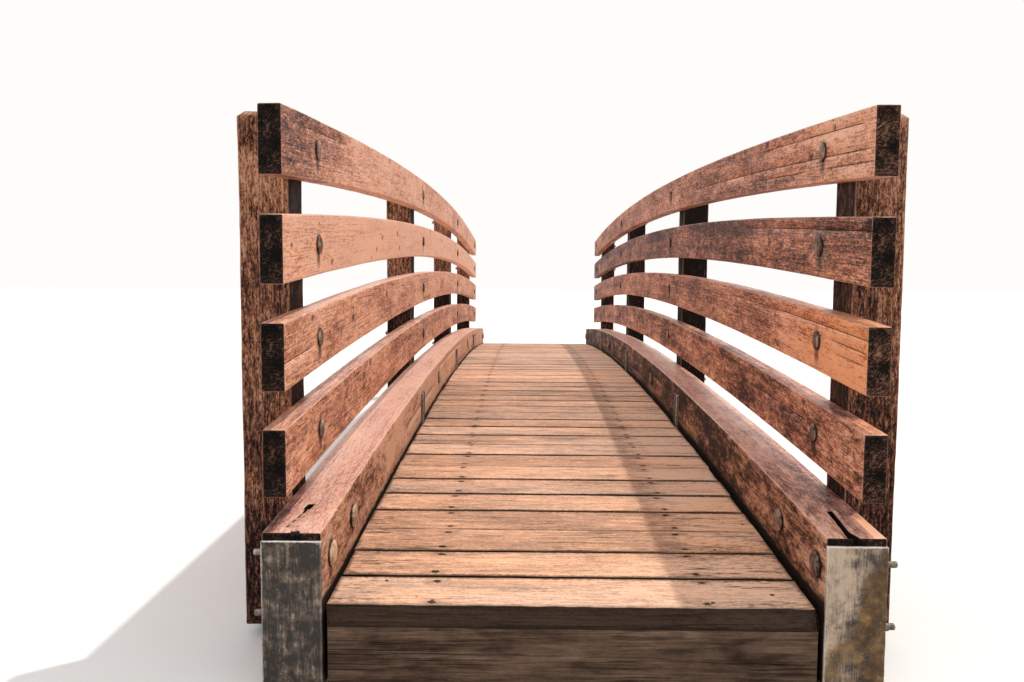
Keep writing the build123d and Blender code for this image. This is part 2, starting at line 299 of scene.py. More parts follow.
class Wiring:
    """Puts nodes into a tree. Their inputs are values to link, or constants."""

    def __init__(self, tree):
        tree.nodes.clear()
        self.tree = tree

    def node(self, kind, inputs, **settings):
        made = self.tree.nodes.new(kind if kind.startswith("Node") else "ShaderNode" + kind)
        for key, value in settings.items():
            setattr(made, key, value)
        for key, value in inputs.items():
            socket = made.inputs[key]
            if isinstance(value, Value):
                self.tree.links.new(value.socket, socket)
            else:
                socket.default_value = (*value, 1) if socket.type == "RGBA" else value
        return made

    def first(self, kind, inputs, **settings):
        return Value(self, self.node(kind, inputs, **settings).outputs[0])

    def outputs(self, kind, inputs=None, **settings):
        made = self.node(kind, inputs or {}, **settings)
        return {socket.name: Value(self, socket) for socket in made.outputs}

    def math(self, operation, *values):
        return self.first("Math", dict(enumerate(values)), operation=operation)

    def packed(self, x, y, z):
        return self.first("CombineXYZ", {0: x, 1: y, 2: z})

    def mark(self, name, output="Fac"):
        return self.outputs("Attribute", attribute_name=name)[output]

    def length(self, *sides):
        """Root of the sum of the sides' squares."""
        first, *others = [side ** 2 for side in sides]
        return self.math("SQRT", sum(others, first))

    def weighted(self, start, values, **terms):
        """Start, plus each value named in the terms, less its middle and times its weight. A
        term is both, or only the weight where the middle is a half."""
        for label, term in terms.items():
            middle, weight = term if isinstance(term, tuple) else (0.5, term)
            start = start + (values[label] - middle) * weight
        return start

    def painted(self, colour, *coats):
        """A colour under coats, each of them a share and its colour."""
        for share, coat in coats:
            colour = share.mix(colour, coat)
        return colour

    def use(self, group, **inputs):
        return self.outputs("Group", inputs, node_tree=group)

    def figure(self, place, seed, **inputs):
        """All that the groups for boards and for weathering give, by name."""
        return self.use(BOARD, place=place, seed=seed, **inputs) | self.use(WEATHER, place=place, seed=seed)

    def edge(self, place, width):
        return self.use(EDGE, place=place, distance=self.mark("rim"), width=width)["wear"]

    def facing_up(self):
        """How much the surface looks upwards, from 0 to 1."""
        _, _, up = self.outputs("NewGeometry")["Normal"].parts()
        return up.span(0.55, 0.92)

    def shader(self, inputs):
        made = self.first("BsdfPrincipled", inputs)
        self.node("OutputMaterial", {0: made})

    def surface(self, colour, roughness, height, relief, **others):
        """A shader with a bump whose relief is in metres. The others' names have _ for spaces."""
        bump = self.first("Bump", {"Height": height, "Distance": relief, "Strength": 1})
        inputs = {"Base Color": colour, "Roughness": roughness, "Normal": bump}
        self.shader(inputs | {key.replace("_", " "): value for key, value in others.items()})


def effect(build, **inputs):
    """A node group that gives what a function builds from its inputs, by name. An input is the
    value that it starts with, or None for a vector."""
    tree = bpy.data.node_groups.new(build.__name__, "ShaderNodeTree")
    w = Wiring(tree)
    for label, value in inputs.items():
        kind = "NodeSocketVector" if value is None else "NodeSocketFloat"
        socket = tree.interface.new_socket(label, in_out="INPUT", socket_type=kind)
        if value is not None:
            socket.default_value = value
    given = w.outputs("NodeGroupInput")
    made = build(w, **{label: given[label] for label in inputs})
    for label in made:
        tree.interface.new_socket(label, in_out="OUTPUT", socket_type="NodeSocketFloat")
    w.node("NodeGroupOutput", made)
    return tree


def board_figure(w, place, seed, board, first, ring, knots):
    """Growth rings, grain lines, fibres and knots of boards glued one on another. Rings are
    circles round a pith that differs from board to board, bent by noise and round knots. A grain
    line is where a noise drawn out along the grain passes its middle value."""
    along, across, up = place.parts()
    layers = (up + first) / board
    layer = w.math("FLOOR", layers)
    inside = layers - layer
    chance = w.outputs("TexWhiteNoise", {"Vector": w.packed(layer, seed, 0)},
                       noise_dimensions="3D")
    red, green, blue = chance["Color"].parts("Color")
    own_along = along + blue * 37 + seed * 1.37
    own = w.packed(own_along, across, up)
    board_height = w.math("MINIMUM", board, 0.16)

    knot_place = w.packed(own_along * 1.35, layer * 10.3, 0)
    cell = w.outputs("TexVoronoi", {"Vector": knot_place, "Scale": 1},
                     voronoi_dimensions="2D", feature="F1")
    knot_chance, knot_size, knot_level = cell["Color"].parts("Color")
    knot_along, _, _ = cell["Position"].parts()
    off_up = (inside - knot_level.span(0, 1, 0.25, 0.75)) * board_height
    distance = w.length((own_along - knot_along / 1.35) * 0.6, off_up, across * 0.2)
    near = distance / knot_size.span(0, 1, 0.008, 0.017) + own.noise(60).weighed(1)
    present = w.math("LESS_THAN", knot_chance, knots)
    swirl = near.span(5, 0.8, 0, 0.016) * present

    side = across - red.span(0, 1, -0.05, 0.05)
    height = inside * board_height - green.span(0, 1, -0.12, -0.02)
    bent = own.noise((1.1, 6), 2, 0.55).weighed(0.06)
    turn = w.math("FRACT", (w.length(side, height) + bent + swirl) / ring)
    greys = [(level, level, level) for level in (0.15, 0.3, 1, 0.1)]
    drawn = own.noise((0.8, 66), 3, 0.6)
    patchy = own.noise((2.6, 17), 1)
    return {"rings": turn.ramp(greys, (0, 0.6, 0.85, 1)),
            "lines": abs(drawn - 0.5).span(0.026, 0.004) * patchy.span(0.42, 0.6),
            "fibres": own.noise((8, 190), 2, 0.65),
            "streaks": own.noise((2, 44), 4, 0.65),
            "knot": near.span(1.3, 0.6) * present,
            "board_tone": chance["Value"]}


def weathering(w, place, seed):
    """Dark blotches, pale fading, a mottle, short strokes and flecks along the grain, grit, a slow
    change of hue, and nicks: thin dark marks across the grain."""
    own = place.moved(w.packed(seed * 3.7, 0, 0))
    short = own.noise((26, 140), 1.5, 0.6)
    crossing = own.noise((95, 14), 2, 0.6)
    sparse = own.noise((5, 16), 1)
    return {"blotches": own.noise((3, 9), 5, 0.65, 0.4),
            "fading": own.noise((1.1, 4.5), 3, 0.55),
            "mottle": own.noise((17, 42), 5, 0.78),
            "strokes": own.noise((30, 120), 3, 0.7),
            "flecks": short.span(0.57, 0.66) - short.span(0.43, 0.32),
            "grit": own.noise((110, 240), 2, 0.75),
            "hue": own.noise((6, 19), 4, 0.65),
            "nicks": crossing.span(0.62, 0.7) * sparse.span(0.52, 0.62)}


def edge_wear(w, place, distance, width):
    """Wear along edges: full at the edge, gone at the width, with a border broken by noise."""
    reach = width * place.noise(90, 3, 0.65).span(0.3, 0.7, 0.6, 1.3)
    wear = w.math("MAXIMUM", 1 - distance / reach, 0) ** 0.6
    return {"wear": wear * place.noise(6).span(0.35, 0.6, 0.5, 1)}


def saw_scratches(w, place, seed):
    """Pale scratches that a coarse saw left on end grain: fine strokes aslant, in one patch of
    the end. A stroke is the high part of a noise drawn out along the slant."""
    _, across, up = place.parts()
    strokes = w.packed((across + up) * 26, (across - up) * 210, seed).noise(1, 2, 0.6)
    patch = w.packed(across * 22, up * 22, seed).noise(1)
    return {"scratches": strokes.span(0.54, 0.66) * patch.span(0.5, 0.66)}


BOARD = effect(board_figure, place=None, seed=0, board=0.035, first=0, ring=0.005, knots=0.6)
WEATHER = effect(weathering, place=None, seed=0)
EDGE = effect(edge_wear, place=None, distance=0, width=0.006)
SAW = effect(saw_scratches, place=None, seed=0)

# Each finish from its darkest to its lightest
RAIL_SHADES = ((0.03, 0.012, 0.01), (0.16, 0.06, 0.042), (0.42, 0.165, 0.095),
               (0.71, 0.305, 0.172), (0.94, 0.51, 0.33))
RAIL_TOPS = ((0.07, 0.03, 0.025), (0.22, 0.095, 0.072), (0.44, 0.19, 0.125),
             (0.65, 0.31, 0.2), (0.84, 0.5, 0.36))
POST_SHADES = ((0.01, 0.005, 0.004), (0.065, 0.026, 0.018), (0.19, 0.078, 0.047),
               (0.42, 0.18, 0.095), (0.66, 0.36, 0.21))
POST_TOPS = ((0.12, 0.07, 0.06), (0.34, 0.2, 0.15), (0.55, 0.36, 0.28), (0.7, 0.5, 0.4))
KERB_SHADES = ((0.012, 0.007, 0.005), (0.085, 0.035, 0.024), (0.3, 0.125, 0.07),
               (0.52, 0.235, 0.13), (0.7, 0.4, 0.26))
KERB_TOPS = ((0.07, 0.035, 0.035), (0.24, 0.105, 0.09), (0.48, 0.225, 0.17),
             (0.66, 0.34, 0.24), (0.8, 0.49, 0.37))
DECK_SHADES = ((0.05, 0.026, 0.016), (0.2, 0.107, 0.066), (0.41, 0.224, 0.138),
               (0.62, 0.338, 0.206), (0.92, 0.525, 0.325))
DECK_GREYS = ((0.045, 0.027, 0.02), (0.19, 0.117, 0.082), (0.4, 0.25, 0.175),
              (0.6, 0.378, 0.265), (0.88, 0.57, 0.405))
HIDDEN_SHADES = ((0.02, 0.012, 0.009), (0.075, 0.045, 0.03), (0.17, 0.105, 0.07),
                 (0.3, 0.2, 0.14))
END_GRAIN = ((0.002, 0.002, 0.0015), (0.006, 0.004, 0.003), (0.042, 0.02, 0.014),
             (0.19, 0.092, 0.062))
SCUFFS = ((0.05, 0.028, 0.022), (0.42, 0.28, 0.21))
PALE_EDGE = (0.84, 0.5, 0.37)
POST_EDGE = (0.6, 0.36, 0.25)
PURPLE_CAST = (0.92, 0.95, 1.03)
ORANGE_CAST = (1.04, 0.84, 0.62)
CRACK_COLOUR = (0.006, 0.004, 0.003)
SCRATCH_COLOUR = (0.48, 0.22, 0.12)
SPLASH_AND_SHADE_COLOUR = (0.05, 0.028, 0.02)
GAP_SHADOW = (0.012, 0.008, 0.006)
DECK_KNOT = (0.16, 0.075, 0.04)
NAIL_HALO = (0.12, 0.065, 0.04)
JOINT_DIRT = (0.026, 0.015, 0.01)
PLANK_SIDES = (0.016, 0.01, 0.007)
PLATE_SHADES = ((0.035, 0.026, 0.02), (0.13, 0.095, 0.074), (0.4, 0.3, 0.22), (0.62, 0.47, 0.35))
BOLT_SHADES = ((0.06, 0.045, 0.035), (0.2, 0.165, 0.13), (0.42, 0.36, 0.3), (0.66, 0.6, 0.52))
HEAD_SHADES = ((0.012, 0.007, 0.005), (0.1, 0.055, 0.042), (0.3, 0.19, 0.14), (0.66, 0.46, 0.3))
RUST = ((0.045, 0.024, 0.014), (0.15, 0.082, 0.034), (0.36, 0.205, 0.08))
SPECKS = (0.8, 0.72, 0.62)
BRIGHT_EDGE = (0.93, 0.89, 0.83)
TIMBER_SPECULAR = 0.1


def new_material(name):
    material = bpy.data.materials.new(name)
    material.use_nodes = True
    return material, Wiring(material.node_tree)


def bolt_stain_and_shadow(w, place, roughly):
    """Where the nearest bolt, whose place the mark gives, has marked or scuffed the face round it: a stain
    in a ring just past its head, and a run below it that is both a stain and the head's painted shadow.
    Gives the shares of the stain with that shadow, and of the scuff."""
    along, _, up = place.parts()
    bolt_along, bolt_up, scuffed = w.mark("bolt", "Vector").parts()
    off_along, off_up = along - bolt_along, up - bolt_up
    ragged = roughly.weighed(0.035)
    away = w.length(off_along, off_up) + ragged
    beside = (abs(off_along) + abs(ragged)).span(0.027, 0.01)
    # The run below the head: a stain, and the head's painted shadow.
    run_and_shadow = beside * off_up.span(0, -0.02) * off_up.span(-0.085, -0.045)
    on_face = w.mark("inner_face")
    stain_and_shadow = w.math("MAXIMUM", away.span(0.046, 0.032) * 0.55, run_and_shadow) * on_face
    return stain_and_shadow, away.span(0.078, 0.06) * scuffed * on_face


def stained_timber(name, shades, tops, pale, board, first, ring, sawn, deck_side=None):
    """Red-brown timber with a stain, faded on top, worn at its edges and nearly black on its ends. Rough
    sawn timber has stronger fibres than planed. deck_side is the deck's level, up from the middle: just over
    it the inner face is painted darker, dirt and painted shade both, and under it, in the gap beside the
    planks, it is painted black as shadow."""
    material, w = new_material(name)
    place, seed = w.mark("grain", "Vector"), w.mark("seed")
    figure = w.figure(place, seed, board=board, first=first, ring=ring, knots=0.34)
    edge, upward, scratched = w.edge(place, 0.0045), w.facing_up(), w.mark("scratched")
    shade = w.weighted(0.62 + w.mark("tone"), figure, rings=(0.4, -0.26 * (1 - 0.7 * sawn)),
                       lines=(0.15, -0.34), fibres=0.95 - 0.1 * sawn, streaks=0.65,
                       board_tone=0.12, blotches=0.6, fading=0.7,
                       mottle=0.6, strokes=0.9 + 1.1 * sawn, flecks=(0, -0.14),
                       nicks=(0, -0.3 + 0.16 * sawn), grit=1.6)
    shade += w.weighted(0, figure, blotches=1.6, mottle=(0.53, 1.9)) * w.mark("grime")
    colour = upward.mix(shade.ramp(shades), shade.ramp(tops))
    colour = figure["hue"].span(0.4, 0.62).mix(colour, PURPLE_CAST, "MULTIPLY")
    # The orange cast is one rail's own warmer near end, and painted sunlight on the right bottom rail's top
    # and the right kerb's top at the near end.
    colour = w.mark("orange").mix(colour, ORANGE_CAST, "MULTIPLY")
    # Round each bolt: a stain with the head's shadow painted below it, and scuffs.
    stain_and_shadow, scuff = bolt_stain_and_shadow(w, place, figure["mottle"])
    scuffs = w.weighted(figure["strokes"], figure, grit=0.8).ramp(SCUFFS, (0.4, 0.6))

    end = w.weighted(0.38 + scratched * 0.3, figure, rings=(0.4, 0.36))
    end += place.noise(22, 4, 0.65).weighed(2.2)
    end += place.moved((9, 0, 0)).noise(120, 3, 0.7).weighed(2)
    scratches = w.use(SAW, place=place, seed=seed)["scratches"] * (0.1 + scratched)
    end_share = w.mark("end_grain") * (1 - edge * 0.12)
    colour = w.painted(colour, (figure["knot"] * upward.span(0, 1, 0.85, 0.1), shades[0]),
                       (scuff * 0.6, scuffs), (stain_and_shadow * 0.75, shades[0]), (edge * 0.55, pale),
                       (end_share, scratches.mix(end.ramp(END_GRAIN), SCRATCH_COLOUR)))
    if deck_side is not None:
        # Painted shade at the deck: a darker band just over it, dirt with painted shade, and under it the
        # painted black shadow in the gap beside the planks. The mark says how much of both each side has.
        _, _, up = place.parts()
        up += figure["mottle"].weighed(-0.06)
        damp = w.mark("damp")
        splash_and_shade = up.span(deck_side + 0.045, deck_side + 0.002, 0, 0.5) * damp
        shadow_in_gap = (up + (1 - damp) * 0.014).span(deck_side + 0.014, deck_side + 0.004, 0, 0.95)
        colour = w.painted(colour, (splash_and_shade, SPLASH_AND_SHADE_COLOUR), (shadow_in_gap * w.mark("inner_face"), GAP_SHADOW))
    # Cracks, opened glue lines and the kerf are painted nearly black: dirt, and painted shade in the recess.
    cracked = w.mark("crack").span(0.08, 0.55)
    colour = w.painted(colour, (cracked * 0.99, CRACK_COLOUR))
    height = w.weighted(0, figure, fibres=0.4 + 0.6 * sawn, streaks=0.35,
                        rings=-0.12, lines=-0.35, mottle=0.25 + 0.2 * sawn,
                        grit=0.2 + 0.3 * sawn, knot=0.15)
    coat = upward.span(0, 1, 0.2 - 0.15 * sawn, 0.55 - 0.35 * sawn) + upward * w.mark("sheen")
    w.surface(colour, figure["blotches"].span(0.3, 0.7, 0.82, 0.6), height, 0.0016 + 0.0012 * sawn,
              Coat_Weight=coat * (1 - w.math("MAXIMUM", cracked, end_share)),
              Coat_Roughness=0.36, Specular_IOR_Level=TIMBER_SPECULAR)
    return material


def deck_timber(name):
    """Bare sun-bleached planks: peach and grey-brown in long patches, with black nail holes, dirt
    along the joints and fine dark grain lines."""
    material, w = new_material(name)
    place, seed = w.mark("grain", "Vector"), w.mark("seed")
    along, across, _ = place.parts()
    figure = w.figure(place, seed, board=0.5, first=0, ring=0.0075, knots=0.5)
    own = place.moved(w.packed(seed * 2.3, 0, 0))
    drawn = own.noise((0.9, 19), 3, 0.62)
    patchy = own.noise((3.2, 30), 2, 0.6)
    figure["threads"] = abs(drawn - 0.5).span(0.024, 0.006) * patchy.span(0.46, 0.6)
    grime, on_top = w.mark("grime"), w.facing_up()
    shade = w.weighted(0.68 + w.mark("tone"), figure, rings=(0.4, -0.1), lines=(0.15, -0.34),
                       threads=(0.1, -0.34), fibres=0.9, streaks=0.45,
                       blotches=0.75, fading=0.7, mottle=0.6,
                       strokes=0.55, flecks=(0, -0.12), grit=0.9)
    dirty = w.weighted(0, figure, strokes=(0.53, 2.6), blotches=(0.52, 0.8), threads=(0.2, -0.4))
    shade += w.math("MINIMUM", dirty, 0) * grime
    # Grime greys the planks too: on their right side that grey is painted shade in part.
    greying = w.weighted(w.mark("grey") + grime * 0.35, figure, blotches=-1.5, fading=1.5)
    colour = greying.span(0.1, 0.8).mix(shade.ramp(DECK_SHADES), shade.ramp(DECK_GREYS))

    shift_along, shift_across, size = w.mark("nail_shift", "Vector").parts()
    from_row = abs(along) - NAIL_ROW - shift_along
    from_nail = abs(across) - NAIL_FROM_MIDDLE - shift_across
    ragged = place.noise(130).weighed(0.007)
    hole = (w.length(from_row * 0.8, from_nail) + ragged).span(0.0115, 0.0075) * size
    halo = (w.length(from_row * 0.28, from_nail) + ragged).span(0.017, 0.003) * size
    dirt, sides = w.edge(place, 0.013) ** 0.7 * w.mark("joint"), 1 - on_top
    # The planks' sides, in the joints and at the ends, are painted nearly black: painted shade.
    colour = w.painted(colour, (figure["knot"] * 0.55, DECK_KNOT), (halo * on_top * 0.5, NAIL_HALO),
                       (hole * on_top * 0.95, CRACK_COLOUR), (dirt * 0.92, JOINT_DIRT),
                       (sides * 0.93, PLANK_SIDES))
    height = w.weighted(hole * -2, figure, fibres=0.3, streaks=0.35,
                        rings=-0.2, lines=-0.5, grit=0.25)
    covered = w.math("MAXIMUM", w.math("MAXIMUM", sides, dirt), hole)
    w.surface(colour, figure["blotches"].span(0.3, 0.7, 0.85, 0.72), height, 0.0015,
              Coat_Weight=(1 - covered) * 0.5, Coat_Roughness=0.55, Specular_IOR_Level=TIMBER_SPECULAR)
    return material


def hidden_timber(name, turn):
    """Sawn joists and beams under the deck, darkened by moisture. The turn brings X along the grain."""
    material, w = new_material(name)
    coordinates = w.outputs("TexCoord")["Object"]
    place = w.first("Mapping", {"Vector": coordinates, "Rotation": (0, 0, turn)})
    figure = w.figure(place, 3, board=0.5, first=0, ring=0.008, knots=0.6)
    shade = w.weighted(0.45, figure, rings=(0.35, -0.2), fibres=0.8, streaks=0.8,
                       blotches=1.2, mottle=0.7, lines=(0.15, -0.3))
    height = w.weighted(0, figure, fibres=0.6, grit=0.3, lines=-0.6)
    w.surface(shade.ramp(HIDDEN_SHADES), figure["blotches"].span(0.3, 0.7, 0.9, 0.75), height, 0.002,
              Specular_IOR_Level=TIMBER_SPECULAR)
    return material


def galvanised(name, shades, shine, rust, specular):
    """Dull galvanised steel: mottled, with fine vertical strokes, dark runs, white specks, rust, and a
    bright line along the edges that the mark says, both wear and a painted highlight."""
    material, w = new_material(name)
    place = w.outputs("TexCoord")["Object"]
    mottle = place.noise(30, 6, 0.7, 0.2)
    strokes = place.noise((240, 240, 22), 2, 0.6)
    runs = place.noise((75, 75, 6), 3, 0.6)
    wide = place.noise(11, 4, 0.6)
    specks = place.noise(170, 2, 0.7).span(0.7, 0.75)
    shade = (0.5 + w.mark("tone") + mottle.weighed(2.2) + strokes.weighed(0.9)
             + runs.weighed(0.8) + wide.weighed(1))
    patch = (wide + mottle.weighed(0.6) + w.mark("rust")).span(0.6, 0.8)
    colour = w.painted(shade.ramp(shades), (patch * rust, mottle.ramp(RUST, (0.3, 0.5, 0.7))),
                       (specks * 0.6, SPECKS), (w.edge(place, 0.004) * w.mark("bright"), BRIGHT_EDGE))
    w.surface(colour, mottle.span(0.3, 0.7, 0.5, 0.7) + patch * 0.2,
              mottle * 0.7 + patch * 0.4 + strokes * 0.25, 0.0012,
              Metallic=(shade - patch * 0.6).span(0, 0.8, 0.05, shine), Specular_IOR_Level=specular)
    return material


RAIL_WOOD = stained_timber("stained_rail_timber", RAIL_SHADES, RAIL_TOPS, PALE_EDGE,
                           BOARD_THICKNESS, FIRST_LINE - RAIL_DEPTH / 2, 0.0075, 0)
POST_WOOD = stained_timber("rough_sawn_post_timber", POST_SHADES, POST_TOPS, POST_EDGE,
                           0.6, 0, 0.01, 1)
KERB_WOOD = stained_timber("stained_stringer_timber", KERB_SHADES, KERB_TOPS, PALE_EDGE,
                           BOARD_THICKNESS, FIRST_LINE - STRINGER_DEPTH / 2, 0.0075, 0.25,
                           deck_side=STRINGER_DEPTH / 2 - KERB_HEIGHT)
DECK_WOOD = deck_timber("bleached_plank_timber")
JOIST_WOOD = hidden_timber("joist_timber", math.radians(90))
BEAM_WOOD = hidden_timber("beam_timber", 0)
PLATE_STEEL = galvanised("weathered_galvanised_plate", PLATE_SHADES, 0.2, 0.95, 0.5)
BOLT_STEEL = galvanised("weathered_galvanised_bolts", BOLT_SHADES, 0.3, 0.5, 0.5)
HEAD_STEEL = galvanised("stained_bolt_heads", HEAD_SHADES, 0.05, 0.6, 0.2)


# Rails: laminated boards bent to the arc, with opened glue lines


LINE_WIDTH = 0.0034
CHECK_WIDTH = 0.004
RAIL_EASING = 0.0045
RAIL_LINES = [RAIL_DEPTH / 2 - FIRST_LINE - number * BOARD_THICKNESS for number in range(4)]
BOLT_PLACES = [centre + 0.022 for centre in POST_CENTRES]

# Glue lines that have opened on each rail's walkway face, by rail from the top down: which line
# from the top down, and from where to where, from the near end. The rest is closed.
OPEN_LINES = {"left": (((0, 0.3, 0.86),), (), ((2, 0, 0.35),), ()),
              "right": (((2, 0.02, 2.4), (3, 0.04, 1.3), (0, 0.1, 1.1)), ((0, 0, 1.3),),
                        ((0, 0, 1.5), (1, 0.02, 0.34), (2, 0.05, 0.3)), ((1, 0.5, 1.1),))}

# How much lighter or darker than the rest each rail is, at its near end and from a metre on, how
# grimy, and how much of the saw's scratches shows on the right ones' ends, all from the top down
# From a metre on, the left rails, on the lit side, are lighter and the right ones, on the shaded side, are
# darker: painted light and shade in part.
RAIL_TONES = {"left": ((-0.23, 0.22), (0.26, 0.54), (0.1, 0.15), (-0.02, 0.01)),
              "right": ((0.13, -0.14), (-0.25, -0.35), (0.33, -0.15), (-0.09, -0.16))}
RAIL_GRIME = {"left": (0.2, 0.13, 0.2, 0.3), "right": (0.25, 0.4, 0.3, 0.75)}
RAIL_SCRATCHES = (0.75, 0.3, 0.8, 0.4)
OUTER_LINES_SPAN = 8.4


def opened_between(seed, start, finish, deepest):
    """Depth of a glue line opened between two places from the near end: it eases in and out, and
    deepens and closes a little on the way."""
    def depth(along):
        from_end = along + HALF_LENGTH
        spots = np.stack([along, np.zeros_like(along), np.zeros_like(along)], 1)
        share = (ease(from_end, start - 0.01, start + 0.03)
                 * ease(from_end, finish + 0.03, finish - 0.12))
        return deepest * share * np.clip(0.7 + 0.35 * wander(spots, 0.3, seed), 0, 1)
    return depth


def line_stops(levels, width=LINE_WIDTH):
    """Three stops at each level: the two lips and the bottom of an opened line."""
    return [level + shift for level in levels for shift in (-width / 2, 0, width / 2)]


def rail(side_name, side, number, seed):
    """One curved rail. On its outer face other lines have opened than on its walkway face."""
    board = Timber((RAIL_THICKNESS, 2 * RAIL_HALF_LENGTH, RAIL_DEPTH), (0.022, 0.034, 0.05),
                   RAIL_EASING, seed, 0.0003, ((), (), line_stops(RAIL_LINES)))
    for order, start, finish in OPEN_LINES[side_name][number]:
        walkway = opened_between(seed * 13 + order, start, finish, 0.004)
        outside = opened_between(seed * 19 + order, OUTER_LINES_SPAN - finish,
                                 OUTER_LINES_SPAN - start, 0.003)
        board.groove(0, -side, RAIL_LINES[order], walkway)
        board.groove(0, side, RAIL_LINES[3 - order], outside)
    from_end = board.start[:, 1] + HALF_LENGTH
    marks, outer, top = board.marks, board.face(0, side), board.face(2, 1)
    near_tone, tone = RAIL_TONES[side_name][number]
    tones = near_tone + (tone - near_tone) * ease(from_end, 0.15, 1.2)
    marks["tone"] += np.where(outer, 0.3 * tones - 0.12, tones)
    marks["grime"] += np.where(outer, 0.6, RAIL_GRIME[side_name][number])
    marks["inner_face"] = board.face(0, -side)
    if side < 0:
        marks["tone"] += (0.06 + 0.12 * ease(from_end, 0.6, 1.6)) * top
    else:
        marks["scratched"] = np.full(len(from_end), RAIL_SCRATCHES[number])
    if side > 0 and number == 2:
        marks["orange"] = ease(from_end, 1.1, 0.2)
    if side > 0 and number == 3:
        # Painted sunlight: the top at the near end, past the post's shadow, is painted lighter and orange.
        sunlit_top = top * ease(from_end, 0.24, 0.18)
        marks["tone"] += 0.34 * sunlit_top
        marks["orange"] = 0.7 * sunlit_top
    board.mark_bolts(BOLT_PLACES, 0, float(side > 0 and number == 1))
    board.arch(side * (SIDE_PLANE - RAIL_THICKNESS / 2), RAIL_LEVELS[number] - RAIL_DEPTH / 2)
    name = "%s_%s" % (side_name, RAILS[number])
    board.put(name, "_boards", RAIL_WOOD, "rail_timber")


# Stringers: deep laminated members with seats over the shoes and damage at the near ends


KERB_BOLT_BELOW = 0.097
LOWER_SHOE_BOLT_BELOW = 0.27
KERB_BOLT_ABOVE_SOFFIT = 0.095
SHOE_BOLT_PLACES = {"left": 0.109, "right": 0.067}
STRINGER_EASING = 0.008
STRINGER_LINES = [STRINGER_DEPTH / 2 - FIRST_LINE - number * BOARD_THICKNESS for number in range(11)]

# Slots in the tops: knots with a distance from the near end, left and right wall across from the
# middle, and depth, in tenths of a millimetre. The right one is a broken-out kerf. The left ones
# are a hole, a crack that leads from it to the end, and a chip out of the end's edge.
SLOTS = {"right": ((0, -245, 75, 1500), (220, -235, -5, 1500), (450, -210, -55, 1500),
                   (720, -180, -30, 1500), (1000, -165, -15, 1500), (1260, -135, 15, 1500),
                   (1500, -125, 25, 1500), (1760, -100, 50, 1500), (2000, -90, 65, 1500),
                   (2090, -65, 75, 1500), (2093, -62, 72, 40), (2095, -60, 70, 0)),
         "left": ((0, -25, 205, 100), (90, -25, 205, 90), (120, 20, 180, 0), (360, -245, -215, 0),
                  (370, -245, -205, 80), (600, -215, -175, 80), (610, -210, -180, 0),
                  (710, -195, -165, 0), (720, -195, -155, 80), (980, -165, -120, 100),
                  (990, -160, -120, 0), (1080, -145, -110, 0), (1090, -145, -100, 100),
                  (1400, -105, -55, 120), (1410, -100, -60, 10), (1480, -90, -50, 10),
                  (1490, -95, -40, 120), (1780, -100, -5, 140), (1810, -130, 40, 750),
                  (1960, -145, 65, 800), (2200, -115, 75, 800), (2265, -85, 60, 700),
                  (2268, -85, 60, 40), (2270, -85, 60, 0))}

# Columns of points that make the slots: place across before they move, which wall they go to,
# how far past it, and how deep they sink at most
LIP = 0.0006
SLOT_COLUMNS = ((-0.009 - LIP, 0, -LIP, 0), (-0.009 - LIP / 2, 0, -LIP / 3, 0.003),
                (-0.009, 0, 0, 1), (0.007, 1, 0, 1), (0.007 + LIP / 2, 1, LIP / 3, 0.003),
                (0.007 + LIP, 1, LIP, 0))


def cut_slot(timber, knots):
    """Sinks the middle columns of the top between a slot's walls, which run straight between the
    knots, and those beside them a little, and draws the outermost up to the lips."""
    half, top, end_face = timber.half[2], timber.face(2, 1), timber.face(1, -1)
    from_end = timber.start[:, 1] + HALF_LENGTH
    *walls, depth = (np.interp(from_end, knots[:, 0], values) for values in knots.T[1:])
    for column, wall, past, most in SLOT_COLUMNS:
        here = timber.on(0, column)
        on_top = here & top
        in_slot = on_top & (depth > 0)
        timber.points[in_slot, 0] = walls[wall][in_slot] + past
        if most:
            timber.points[on_top, 2] -= np.minimum(depth[on_top], most)
            timber.marks["crack"][on_top] = np.clip(depth[on_top] / 0.004, 0, 1)
            lowered = here & end_face & ~top
            share = (timber.points[lowered, 2] + half) / (2 * half)
            timber.points[lowered, 2] -= share * np.minimum(depth[lowered], most)
            timber.marks["rim"][here & (depth > 0)] = 1
            timber.marks["crack"][lowered] = ease(share, 0.97, 0.985)


